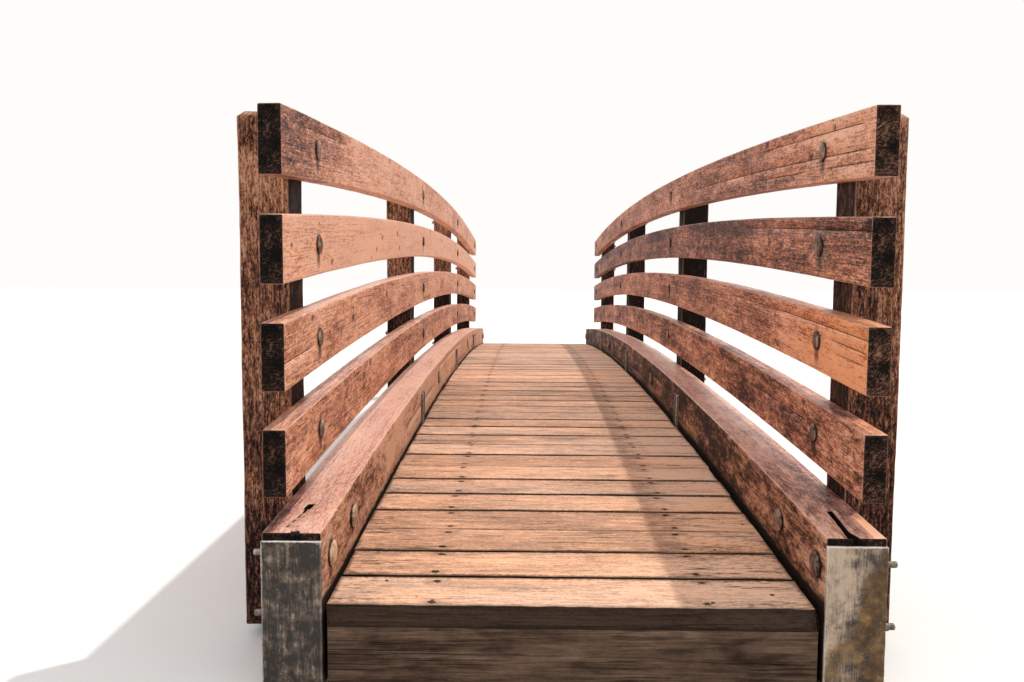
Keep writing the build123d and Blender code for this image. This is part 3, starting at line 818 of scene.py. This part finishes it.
def stringer(side_name, side, seed):
    """One curved stringer. Six stops across its top make the slot's lips and walls. It is seated
    on the shoes' base plates, where the soffit is drawn up to their top."""
    half = STRINGER_DEPTH / 2
    knots = np.array(SLOTS[side_name]) / TENTHS
    slot_stops = [place - HALF_LENGTH for place in knots[1:, 0]]
    fine = [stop for stop in np.arange(0.02, 0.24, 0.01) - HALF_LENGTH
            if min(abs(stop - other) for other in slot_stops) > 0.0025]
    along_stops = [stop for stop in slot_stops + fine if stop > 0.021 - HALF_LENGTH]
    timber = Timber((STRINGER_WIDTH, 2 * HALF_LENGTH, STRINGER_DEPTH), (0.018, 0.03, 0.06),
                    STRINGER_EASING, seed, 0.0005,
                    ([column[0] for column in SLOT_COLUMNS], along_stops, line_stops(STRINGER_LINES)))
    draw = np.random.default_rng(seed)
    for level in STRINGER_LINES:
        for face in (-1, 1):
            start, chance, length = draw.uniform(0.3, 6.5), draw.integers(999), draw.uniform(0.5, 2.2)
            if face == side or start > 1:
                timber.groove(0, face, level, opened_between(chance, start, start + length, 0.003))
    cut_slot(timber, knots)

    from_end = timber.start[:, 1] + HALF_LENGTH
    inward = -side * timber.start[:, 0]
    marks, on_top, inner = timber.marks, timber.face(2, 1), timber.face(0, -side)
    marks["inner_face"] = inner
    marks["grime"] += timber.face(0, side) * 0.7
    near_bolt = HALF_LENGTH - SHOE_BOLT_PLACES[side_name]
    timber.mark_bolts([-near_bolt] + BOLT_PLACES + [near_bolt], half - KERB_BOLT_BELOW)
    if side < 0:
        along = ease(from_end, 0.4, 1.4)
        # The top's outer edge near the end is darker: a stain, with painted shade under the bottom rail.
        shade_and_stain = ease(from_end, 0.45, 0.15) * ease(inward, -0.03, -0.062)
        marks["tone"] += (np.where(on_top, 0.14 + 0.07 * along, -0.1)
                          + inner * (0.21 + 0.42 * along) - on_top * 0.6 * shade_and_stain)
        marks["grime"] += inner
        # Less painted shade at the deck on this side, whose gap lies in the light.
        marks["damp"] = inner * 0.45
    else:
        further = ease(from_end, 0.5, 1.6)
        # Painted sunlight: a strip along the top's outer edge at the near end is painted lighter and orange.
        sunlit_strip = ease(from_end, 0.2, 0.13) * ease(inward, -0.026, -0.036)
        # Painted shadow: the near post's shadow on the top beside that strip is painted darker.
        shade_and_stain = (ease(from_end, 0.08, 0.18) * ease(from_end, 0.6, 0.35)
                   * ease(inward, 0.005, -0.015))
        # Further on, the top is painted lighter, in part a painted reflection of the sky.
        marks["tone"] += (np.where(on_top, 0.01 + 0.26 * further + 0.55 * sunlit_strip - 0.38 * shade_and_stain, -0.14)
                          + inner * (0.07 - 0.38 * further))
        marks["grime"] += inner * 1.15 + on_top * 0.6
        marks["sheen"] = 0.5 * ease(from_end, 0.5, 1.5)
        marks["orange"] = 0.7 * sunlit_strip * on_top
        marks["damp"] = inner
    timber.arch(side * (SIDE_PLANE - STRINGER_WIDTH / 2), KERB_LEVEL - half)

    soffit = SOFFIT_LEVEL + arch_rise(timber.start[:, 1])
    seated = soffit < SHOE_TOP
    stretch = (soffit + STRINGER_DEPTH - SHOE_TOP) / STRINGER_DEPTH
    raised = SHOE_TOP + (timber.points[:, 2] - soffit) * stretch
    timber.points[seated, 2] = np.maximum(raised, SHOE_TOP)[seated]
    timber.put(side_name + "_stringer", "_timber", KERB_WOOD, "stringer_timber")


# Posts: rough-sawn, with bevelled tops


# How much darker each post is, from the near one on: the right ones past the first are nearly black on their
# near and inner faces, painted shade. Then how much darker the inner faces are.
POST_TONES = {"left": (-0.06, -0.12, -0.14, -0.14), "right": (-0.1, -0.92, -0.8, -0.72)}
POST_INNER_TONES = {"left": 0.68, "right": 0.46}
POST_BEVEL = 0.017
POST_CHECK = -0.02


def post(side_name, side, number, seed):
    """One square post. Its bevelled top is the section scaled down towards the top. Across and up
    of its straight frame are X and -Y, and along is Z."""
    name = "%s_%s" % (side_name, POSTS[number])
    low, high = (np.array(corner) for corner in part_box(name))
    size, middle = (high - low)[[0, 2, 1]], (low + high) / 2
    half = size[1] / 2
    check_level = 0.018 if number == 0 else -0.03 + 0.02 * number
    timber = Timber(size, (0.03, 0.03, 0.03), 0.004, seed, 0.0009,
                    (line_stops([POST_CHECK], CHECK_WIDTH), [half - POST_BEVEL, half - 0.6 * POST_BEVEL],
                     line_stops([check_level], CHECK_WIDTH)))
    foot = -HALF_LENGTH - middle[2]
    timber.groove(0, -side, check_level, opened_between(seed * 5, foot + 0.1, foot + 3, 0.007))
    timber.groove(2, 1, POST_CHECK, opened_between(seed * 7, foot + 0.9, foot + 1.5, 0.007))
    height, below_top = timber.start[:, 1] + middle[2], half - timber.start[:, 1]
    inner, near_face = timber.face(0, -side), timber.face(2, 1)
    tone = POST_TONES[side_name][number]
    shade = np.where(inner | near_face, tone, 0.4 * tone) - POST_INNER_TONES[side_name] * inner
    if side < 0 and number > 0:
        shade -= 0.55 * near_face * ease(below_top, 0.6, 0.76)
    elif side < 0:
        # On the left near post's face, the part beside the rails is painted darker as shade and a band at
        # its top is a painted shadow. The face is also lighter high up and darker low down.
        shaded = ease(-side * timber.start[:, 0], 0, 0.03)
        shade += near_face * (0.38 * ease(height, 0.95, 1.5) + 0.01 - 0.15 * shaded
                              - 0.45 * ease(below_top, 0.16, 0.09)
                              - 0.42 * ease(height, 0.47, 0.32))
    elif number == 0:
        shade += near_face * (-0.09 - 0.22 * ease(height, 1.15, 0.55))
    timber.marks["tone"] += shade
    across, along, up = timber.points.T
    slimmer = 1 - np.clip(along - (half - POST_BEVEL), 0, None) / (size[2] / 2)
    timber.points = np.stack([across * slimmer, -up * slimmer, along], 1) + middle
    timber.put(name, "_timber", POST_WOOD, "post_timber")


# Deck: planks tangent to the arc, each with its own cup, ends, joints and tone


# Widths of the joints from the near end on, and those that come by chance after them, in tenths
# of a millimetre, and how light the first planks are
JOINTS_NEAR_END = (80, 60, 22, 90, 85, 70, 28, 85, 35, 70, 75, 90, 40, 35, 80, 45, 75, 60)
FAR_JOINTS = (22, 32, 45, 75, 90)
END_JOINT = 45
TONES_NEAR_END = (0.06, 0.03, -0.12, -0.13, 0.05, -0.04, 0.06, -0.05, 0.03, -0.09, -0.03, -0.1,
                  -0.16, -0.2, -0.14, -0.22, -0.18, -0.12)


def joint_after(number):
    """Width of the joint after a plank: as in the photograph near this end, then by chance."""
    if number < 0 or number == PLANK_COUNT - 1:
        return END_JOINT / TENTHS
    if number < len(JOINTS_NEAR_END):
        return JOINTS_NEAR_END[number] / TENTHS
    return np.random.default_rng(900 + number).choice(FAR_JOINTS) / TENTHS


def plank(number, pitch, first_centre, rng):
    """One plank and its nails. It is cupped across its width, its long edges wander, and its ends
    are cut a little unevenly. Across of its straight frame is -Y, and along is X."""
    before, after = joint_after(number - 1), joint_after(number)
    width = pitch - (before + after) / 2
    length = 2 * PLANK_HALF_LENGTH + 0.005 - rng.uniform(0, 0.008)
    seed = 200 + number * 3
    timber = Timber((width, length, PLANK_THICKNESS), (0.03, 0.04, 0.03), 0.0035, seed, 0.0005)
    marks, (across, along, up) = timber.marks, timber.points.T
    start_across, x, _ = timber.start.T
    cup = rng.uniform(-0.0012, 0.0006)
    up += cup * (across / (width / 2)) ** 2 - max(cup, 0)
    edge_line = np.stack([along, np.sign(across) * 9, np.zeros_like(along)], 1)
    across += 0.0009 * wander(edge_line, 0.4, seed + 5) * np.abs(across) / (width / 2)
    if number == 0:
        on_edge = ease(across, width / 2 - 0.02, width / 2)
        ragged = 0.002 + 0.0015 * wander(timber.points[:, [1, 1, 1]], 0.08, 77)
        across -= on_edge * ragged * ease(up, 0, PLANK_THICKNESS / 2)

    centre = first_centre + number * pitch + (before - after) / 2
    marks["joint"] = 0.25 + 0.75 * ease(np.where(start_across > 0, before, after), 0.002, 0.007)
    shift = rng.uniform(-0.008, -0.004)
    moved = np.stack([rng.uniform(-0.007, 0.007, 4), rng.uniform(-0.006, 0.006, 4),
                      rng.uniform(0.55, 1, 4)], 1)
    marks["nail_shift"] = moved[(x > 0) * 2 + (start_across > 0)]
    rows, edges = np.repeat([-1, 1], 2), np.tile([-1, 1], 2)
    nails = np.stack([rows * (NAIL_ROW + moved[:, 0]) + shift,
                      centre - edges * (NAIL_FROM_MIDDLE + moved[:, 1])], 1)

    near = TONES_NEAR_END[number] if number < len(TONES_NEAR_END) else rng.uniform(-0.1, 0.1)
    further = ease(number, 0.5, 4)
    # The right side of each plank, in the rails' cast shadow, is painted lighter, more so away from the near
    # end: painted light that lifts the shadow.
    marks["tone"] += near + (0.12 + 0.32 * further) * ease(x, 0.3, 0.46)
    marks["grey"] = np.full(len(x), rng.uniform(0, 0.7))
    # Grime by both kerbs, less on the right further on. On the right it also greys the planks in the rails'
    # shadow, painted shade in part.
    marks["grime"] += ((1 - 0.35 * further) * ease(x, 0.2, 0.5)
                       + 0.5 * ease(x, -0.45, -0.62))
    slope = -centre / ARCH_RADIUS
    lift = math.sqrt(1 - slope**2)
    underside = DECK_LEVEL - PLANK_THICKNESS + arch_rise(centre)
    over = up + PLANK_THICKNESS / 2
    placed = np.stack([along + shift, centre - across * lift - over * slope,
                       underside - across * slope + over * lift], 1)
    return (placed, timber.faces), marks, nails


def deck(rng):
    """The planks in their bays. Gives the places of their nails: one near each plank edge over
    each joist."""
    deck_length = 2 * (HALF_LENGTH - DECK_END_GAP)
    joint = (deck_length - PLANK_COUNT * PLANK_WIDTH) / (PLANK_COUNT - 1)
    first_centre = -deck_length / 2 + PLANK_WIDTH / 2
    planks = [plank(number, PLANK_WIDTH + joint, first_centre, rng) for number in range(PLANK_COUNT)]
    per_bay = math.ceil(PLANK_COUNT / DECK_BAYS)
    for bay in range(DECK_BAYS):
        parts, marks, _ = zip(*planks[bay * per_bay:(bay + 1) * per_bay])
        together = {key: np.concatenate([mark[key] for mark in marks]) for key in marks[0]}
        name = "deck_bay_%d" % (bay + 1)
        put(name + "_planks", *joined(parts), together, DECK_WOOD, "deck_timber", name)
    return np.concatenate([nails for _, _, nails in planks])


# Fasteners


# Radius, height of the side and height of the dome of a head, and how far threads reach past nuts
RAIL_HEAD = (0.029, 0.0035, 0.01)
KERB_HEAD = (0.037, 0.004, 0.015)
HEAD_SIDES = 28
POST_THREAD = 0.008
SHOE_THREAD = 0.036
WASHER_RADIUS = 0.028
WASHER = 0.004
NUT_FLAT = 0.0145
NUT_TOP = 0.02
THREAD_START = 0.019
THREAD_RADIUS = 0.0095
THREAD_STEP = 0.00115
NAIL_PROFILE = ((0, -0.0015), (0.0068, -0.0015), (0.0072, 0.0004), (0.004, 0.0012), (0, 0.0014))

# Nails that missed the rows: X, and distance from the near end
STRAY_NAILS = ((0.553, 0.089), (0.38, 0.035), (0.467, 0.409), (-0.546, 0.231), (-0.518, 0.156),
               (-0.42, 0.056), (-0.374, 0.034), (-0.152, 0.117), (0.61, 0.64))


def tube(rings, first, last):
    """Closed surface over rings of points, with a fan from the first point over the first ring
    and from the last point over the last one."""
    count, sides = rings.shape[:2]
    here, after = np.arange(sides), (np.arange(sides) + 1) % sides
    rows = np.arange(count - 1)[:, None] * sides
    quads = np.stack([rows + here, rows + after, rows + after + sides, rows + here + sides], -1)
    tip, last_row = count * sides, (count - 1) * sides
    fans = [np.stack([np.full(sides, tip), after, here], 1),
            np.stack([np.full(sides, tip + 1), last_row + here, last_row + after], 1)]
    points = np.concatenate([rings.reshape(-1, 3), [first, last]])
    return points, (quads.reshape(-1, 4), np.concatenate(fans))


def turned(profile, sides, shape=np.ones_like):
    """Closed surface turned round +Z: rings at the profile's radii and heights, the first and
    last of them points. The shape gives a factor for the radii at each angle."""
    profile = np.asarray(profile, float)
    angles = np.arange(sides) * 2 * np.pi / sides
    radii = profile[1:-1, :1] * shape(angles)
    heights = np.repeat(profile[1:-1, 1:], sides, axis=1)
    rings = np.stack([radii * np.cos(angles), radii * np.sin(angles), heights], -1)
    return tube(rings, (0, 0, profile[0, 1]), (0, 0, profile[-1, 1]))


def six_sided(angles):
    """Radius of a hexagon over that of its flats: one over the cosine of the angle from the
    middle of the nearest flat."""
    return 1 / np.cos((angles + np.pi / 6) % (np.pi / 3) - np.pi / 6)


def facing(points, direction, origin, spin):
    """Turns a shape made along +Z to point along +X or -X, spun about itself, and places it."""
    c, s = math.cos(spin), math.sin(spin)
    x, y, z = points.T
    return np.stack([direction * z, direction * (x * c - y * s), x * s + y * c], 1) + np.asarray(origin)


def bolt_head(place, direction, head, face_tone, rng):
    """A thick round head on a face that looks along the direction: a steep side, a rounded rim and a domed
    face. Its side is painted black, dirt with painted shade. Gives points and faces, and tones."""
    radius, side, height = head
    share = np.linspace(0.93, 0, 5)
    dome = np.stack([radius * share, side + (height - side) * np.sqrt(1 - share**2)], 1)
    profile = np.concatenate([[[0, -0.001], [radius, -0.001], [radius, 0.5 * side],
                               [radius, 0.85 * side], [radius * 0.985, side]], dome])
    points, faces = turned(profile, HEAD_SIDES)
    on_face = np.append(np.repeat(profile[1:-1, 0] < 0.95 * radius, HEAD_SIDES), [False, True])
    # The side is painted dark: dirt, and painted shade.
    tone = np.where(on_face, face_tone + rng.uniform(-0.1, 0.1), -0.45)
    points[:, 2] += rng.uniform(-0.03, 0.03) * points[:, 0]
    return (facing(points, direction, place, rng.uniform(0, 6)), faces), tone


def bolt_end(place, direction, past, rng):
    """Washer, nut and thread end on a face that looks along the direction. The thread is a rod
    whose rings are wide and narrow in turn, as crests and roots are, with a chamfered tip."""
    spin = rng.uniform(0, 6)
    washer = [(0, -0.0005), (WASHER_RADIUS - 0.0006, -0.0005), (WASHER_RADIUS, 0.0008),
              (WASHER_RADIUS, WASHER - 0.001), (WASHER_RADIUS - 0.001, WASHER), (0, WASHER)]
    nut = [(0, WASHER), (NUT_FLAT * 0.97, WASHER), (NUT_FLAT, WASHER + 0.001),
           (NUT_FLAT, NUT_TOP - 0.002), (NUT_FLAT * 0.9, NUT_TOP), (0, NUT_TOP)]
    turns = np.arange(0, past - 0.002, THREAD_STEP)
    thread = [(THREAD_RADIUS * (1 if number % 2 else 0.9), THREAD_START + turn)
              for number, turn in enumerate(turns)]
    tip = THREAD_START + past
    thread = [(0, THREAD_START)] + thread + [(THREAD_RADIUS * 0.8, tip), (0, tip)]
    shapes = (turned(washer, 24), turned(nut, 24, six_sided), turned(thread, 14))
    return joined([(facing(points, direction, place, spin), faces) for points, faces in shapes])


def put_steel(name, points, faces, material, *replaced, rim=1, tone=0, rust=0, bright=0):
    """A piece of steel. Its marks are a number, or one for each point."""
    marks = {"rim": rim, "tone": tone, "rust": rust, "bright": bright}
    marks = {key: np.broadcast_to(value, len(points)) for key, value in marks.items()}
    put(name, points, faces, marks, material, "galvanised_steel", *replaced)


def fasteners(rng):
    """Thick round heads on the walkway side and nuts on the outer side, at each post and shoe."""
    for side_name, side in SIDES:
        bolts = {"rail": [], "stringer": []}
        kerb_tone = 0.42 if side < 0 else 0

        def bolt(kind, inner, outer, y, level, head, tone, past):
            z = level + arch_rise(y)
            bolts[kind].append((*bolt_head((side * inner, y, z), -side, head, tone, rng),
                                bolt_end((side * outer, y, z), side, past, rng)))

        for y in BOLT_PLACES:
            for level in RAIL_LEVELS:
                bolt("rail", RAIL_INNER, POST_OUTER, y, level - RAIL_DEPTH / 2, RAIL_HEAD, 0.02, POST_THREAD)
            for level in (KERB_LEVEL - KERB_BOLT_BELOW, SOFFIT_LEVEL + KERB_BOLT_ABOVE_SOFFIT):
                bolt("stringer", STRINGER_INNER, POST_OUTER, y, level, KERB_HEAD, kerb_tone, POST_THREAD)
        for _, end in ENDS:
            y = end * (HALF_LENGTH - SHOE_BOLT_PLACES[side_name])
            for below in (KERB_BOLT_BELOW, LOWER_SHOE_BOLT_BELOW):
                bolt("stringer", STRINGER_INNER, SIDE_PLANE, y, KERB_LEVEL - below, KERB_HEAD, kerb_tone,
                     SHOE_THREAD)
        for kind, made in bolts.items():
            heads, tones, _ = zip(*made)
            put_steel("%s_%s_bolt_heads" % (side_name, kind), *joined(heads), HEAD_STEEL,
                      tone=np.concatenate(tones))
        for kind, made in bolts.items():
            put_steel("%s_%s_bolt_nuts" % (side_name, kind), *joined([bolt[2] for bolt in made]), BOLT_STEEL)


def nail_heads(places):
    """Sunk nail heads, rusted black: shallow domes just under the planks' faces."""
    points, faces = turned(NAIL_PROFILE, 10)
    strays = np.array(STRAY_NAILS) - np.array([0, HALF_LENGTH])
    parts = [(points + np.array([x, y, DECK_LEVEL + arch_rise(y) - 0.0008]), faces)
             for x, y in np.concatenate([places, strays])]
    put_steel("deck_nail_heads", *joined(parts), HEAD_STEEL, tone=-0.45)


# Shoes and hangers


def steel_block(one, other, easing, seed):
    """An eased steel bar or plate between two corners. Gives its surface and edge distances."""
    low, high = np.sort([one, other], axis=0)
    block = Timber(high - low, (0.02, 0.02, 0.02), easing, seed, 0.0003)
    return (block.points + (low + high) / 2, block.faces), block.marks["rim"]


def weld_bead(start, finish, radius, seed):
    """A weld bead from start to finish: a tube of small overlapping waves along the line, closed
    by a fan at each end."""
    start, finish = np.array(start, float), np.array(finish, float)
    length = np.linalg.norm(finish - start)
    along, angles = np.linspace(0, 1, max(8, int(length / 0.003))), np.arange(10) * np.pi / 5
    ripple = 1 + 0.12 * np.sin(2 * np.pi * along * length / 0.007 + seed)
    swell = radius * ripple * np.sqrt(np.clip(1 - (2 * along - 1) ** 16, 0.02, 1))
    direction = (finish - start) / length
    first = np.cross(direction, [0.3, 0.5, 0.8])
    first /= np.linalg.norm(first)
    ring = np.cos(angles)[:, None] * first + np.sin(angles)[:, None] * np.cross(direction, first)
    rings = start + along[:, None, None] * (finish - start) + swell[:, None, None] * ring
    return tube(rings, start, finish)


def shoe(side_name, side, end_name, end, seed):
    """Welded shoe: base plate, end plate, tongue in the kerf, and weld beads where they meet."""
    left, right = sorted((side * STRINGER_INNER, side * SIDE_PLANE))
    middle, face = (left + right) / 2, end * HALF_LENGTH
    blocks = [steel_block((left, face, 0), (right, end * (HALF_LENGTH + PLATE_THICKNESS), PLATE_TOP),
                          0.0018, seed),
              steel_block((left, face, 0), (right, end * (HALF_LENGTH - SHOE_BASE_LENGTH), SHOE_TOP),
                          0.002, seed + 1),
              steel_block((middle - 0.005, face, SHOE_TOP),
                          (middle + 0.005, end * (HALF_LENGTH - TONGUE_LENGTH), KERB_LEVEL - 0.06),
                          0.001, seed + 2)]
    beads = [weld_bead((x, face, 0.004), (x, face, SHOE_TOP - 0.002), 0.003, seed) for x in (left, right)]
    points, faces = joined([surface for surface, _ in blocks] + beads)
    rim = np.concatenate([rim for _, rim in blocks] + [np.ones(len(bead[0])) for bead in beads])
    from_left, height = points[:, 0] - left, points[:, 2]
    # The end plate's top and left edges are painted bright: wear, and a painted highlight.
    bright = (0.12 + 0.88 * ease(height, PLATE_TOP - 0.012, PLATE_TOP - 0.004)
              + 0.5 * ease(from_left, 0.012, 0.004))
    tone, rust = -0.4, -0.14
    if side > 0:
        low_right = ease(from_left - 0.5 * (height - 0.26), 0.055, 0.115)
        tone = 0.36 - 0.34 * ease(from_left, 0.06, 0.105) - 0.3 * low_right
        rust = -0.08 + 0.19 * ease(from_left, 0.07, 0.11) + 0.26 * low_right
    tone = np.where(points[:, 1] * end < HALF_LENGTH - 0.001, -0.3, tone)
    name = "%s_%s_shoe" % (side_name, end_name)
    put_steel(name + "_steel", points, faces, PLATE_STEEL, name, rim=rim, tone=tone, rust=rust,
              bright=np.clip(bright, 0, 1))


def hanger(side_name, side, beam_name, seed):
    """Bent strap: a leg up the stringer's inner face and a seat under the cross beam."""
    name = "%s_%s_hanger" % (side_name, beam_name)
    low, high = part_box(name)
    front = side * (STRINGER_INNER - STRAP_THICKNESS)
    tip = low.x if side > 0 else high.x
    leg, leg_rim = steel_block((side * STRINGER_INNER, low.y, low.z), (front, high.y, high.z), 0.002, seed)
    seat, seat_rim = steel_block((front, low.y, low.z), (tip, high.y, low.z + STRAP_THICKNESS), 0.002,
                                 seed + 1)
    points, faces = joined([leg, seat])
    # The strap's edges at its near end are painted bright: wear, and a painted highlight.
    put_steel(name + "_strap", points, faces, PLATE_STEEL, name, rim=np.append(leg_rim, seat_rim),
              tone=-0.5, bright=0.05 + 0.8 * ease(points[:, 1] - low.y, 0.012, 0.004))


# The bridge


rng = np.random.default_rng(11)
for side_name, side in SIDES:
    stringer(side_name, side, 31 if side < 0 else 47)
    for number in range(len(RAILS)):
        rail(side_name, side, number, 5 + 2 * number + (100 if side > 0 else 0))
    for number in range(len(POSTS)):
        post(side_name, side, number, 60 + 3 * number + (40 if side > 0 else 0))
    for end_name, end in ENDS:
        shoe(side_name, side, end_name, end, 300 + side * 7 + end)
    for order, beam_name in enumerate(HANGERS):
        hanger(side_name, side, beam_name, 400 + 5 * order + side)
nail_heads(deck(rng))
fasteners(rng)

for node_name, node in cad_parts.items():
    if node_name.endswith(("_joists", "_beam")):
        node.data.materials.clear()
        node.data.materials.append(JOIST_WOOD if node_name.endswith("_joists") else BEAM_WOOD)


# Floor, light and camera


FLOOR_REACH = 60
FLOOR_LEVEL = -0.001
FLOOR_BOUNCE = 0.5
SURROUND = 0.98
SURROUND_COLOUR = (1, 0.985, 0.965)
KEY_COLOUR = (1, 0.95, 0.88)
KEY_ENERGY = 1.95
KEY_WIDTH = 1
KEY_FROM = (0.357, 0.27, 1)
SENSOR_WIDTH = 36
PHOTO_WIDTH = 1024
FOCAL_PIXELS = 858.06
YAW_LEFT = 0.832
PITCH_DOWN = 4.345
ROLL = 0.328
EYE = (-0.1314, -6.6637, 1.1023)


def placed(name, data):
    """A new object in the scene with this data."""
    made = bpy.data.objects.new(name, data)
    bpy.context.scene.collection.objects.link(made)
    made.rotation_mode = "QUATERNION"
    return made


def floor():
    """A plain pale floor, wide enough to reach the view's horizon. It throws back less light than
    the camera sees on it, as the ground round a bridge does."""
    material, w = new_material("pale_floor")
    faint = w.outputs("TexCoord")["Object"].noise(0.8, 3).span(0.3, 0.7, 0.8, 0.84)
    seen = w.outputs("LightPath")["Is Camera Ray"]
    grey = faint * seen.span(0, 1, FLOOR_BOUNCE, 1)
    w.shader({"Base Color": w.first("CombineColor", {0: grey, 1: grey, 2: grey}),
              "Roughness": 0.9})
    mesh = bpy.data.meshes.new("floor")
    corners = [(x, y, FLOOR_LEVEL) for x in (-FLOOR_REACH, FLOOR_REACH) for y in (-FLOOR_REACH, FLOOR_REACH)]
    mesh.from_pydata(corners, [], [(0, 2, 3, 1)])
    mesh.materials.append(material)
    placed("floor", mesh)


def lighting():
    """A soft even surround, white where the camera sees it, and one key light from high up on the
    right, beyond the bridge."""
    world = bpy.data.worlds.new("studio")
    bpy.context.scene.world = world
    world.use_nodes = True
    w = Wiring(world.node_tree)
    rays = w.outputs("LightPath")
    mirrored = w.math("MAXIMUM", rays["Is Glossy Ray"], rays["Is Transmission Ray"])
    seen = w.math("MAXIMUM", rays["Is Camera Ray"], mirrored)
    strength = SURROUND + seen * (1 - SURROUND)
    shine = w.first("Background", {"Color": SURROUND_COLOUR, "Strength": strength})
    w.node("OutputWorld", {0: shine})
    key = bpy.data.lights.new("key", "SUN")
    key.energy, key.angle, key.color = KEY_ENERGY, math.radians(KEY_WIDTH), KEY_COLOUR
    placed("key", key).rotation_quaternion = Vector(KEY_FROM).to_track_quat("Z", "Y")


def camera():
    """The photograph's viewpoint: eye height between the rails, just before the near end."""
    data = bpy.data.cameras.new("camera")
    data.sensor_fit = "HORIZONTAL"
    data.sensor_width = SENSOR_WIDTH
    data.lens = FOCAL_PIXELS * SENSOR_WIDTH / PHOTO_WIDTH
    data.clip_start, data.clip_end = 0.05, 300
    view = placed("camera", data)
    turns = ((YAW_LEFT, "Z"), (90 - PITCH_DOWN, "X"), (ROLL, "Z"))
    yaw, pitch, roll = (Matrix.Rotation(math.radians(angle), 3, axis) for angle, axis in turns)
    view.rotation_quaternion = (yaw @ pitch @ roll).to_quaternion()
    view.location = EYE
    bpy.context.scene.camera = view


floor()
lighting()
camera()
bpy.context.scene.view_settings.view_transform = "Standard"
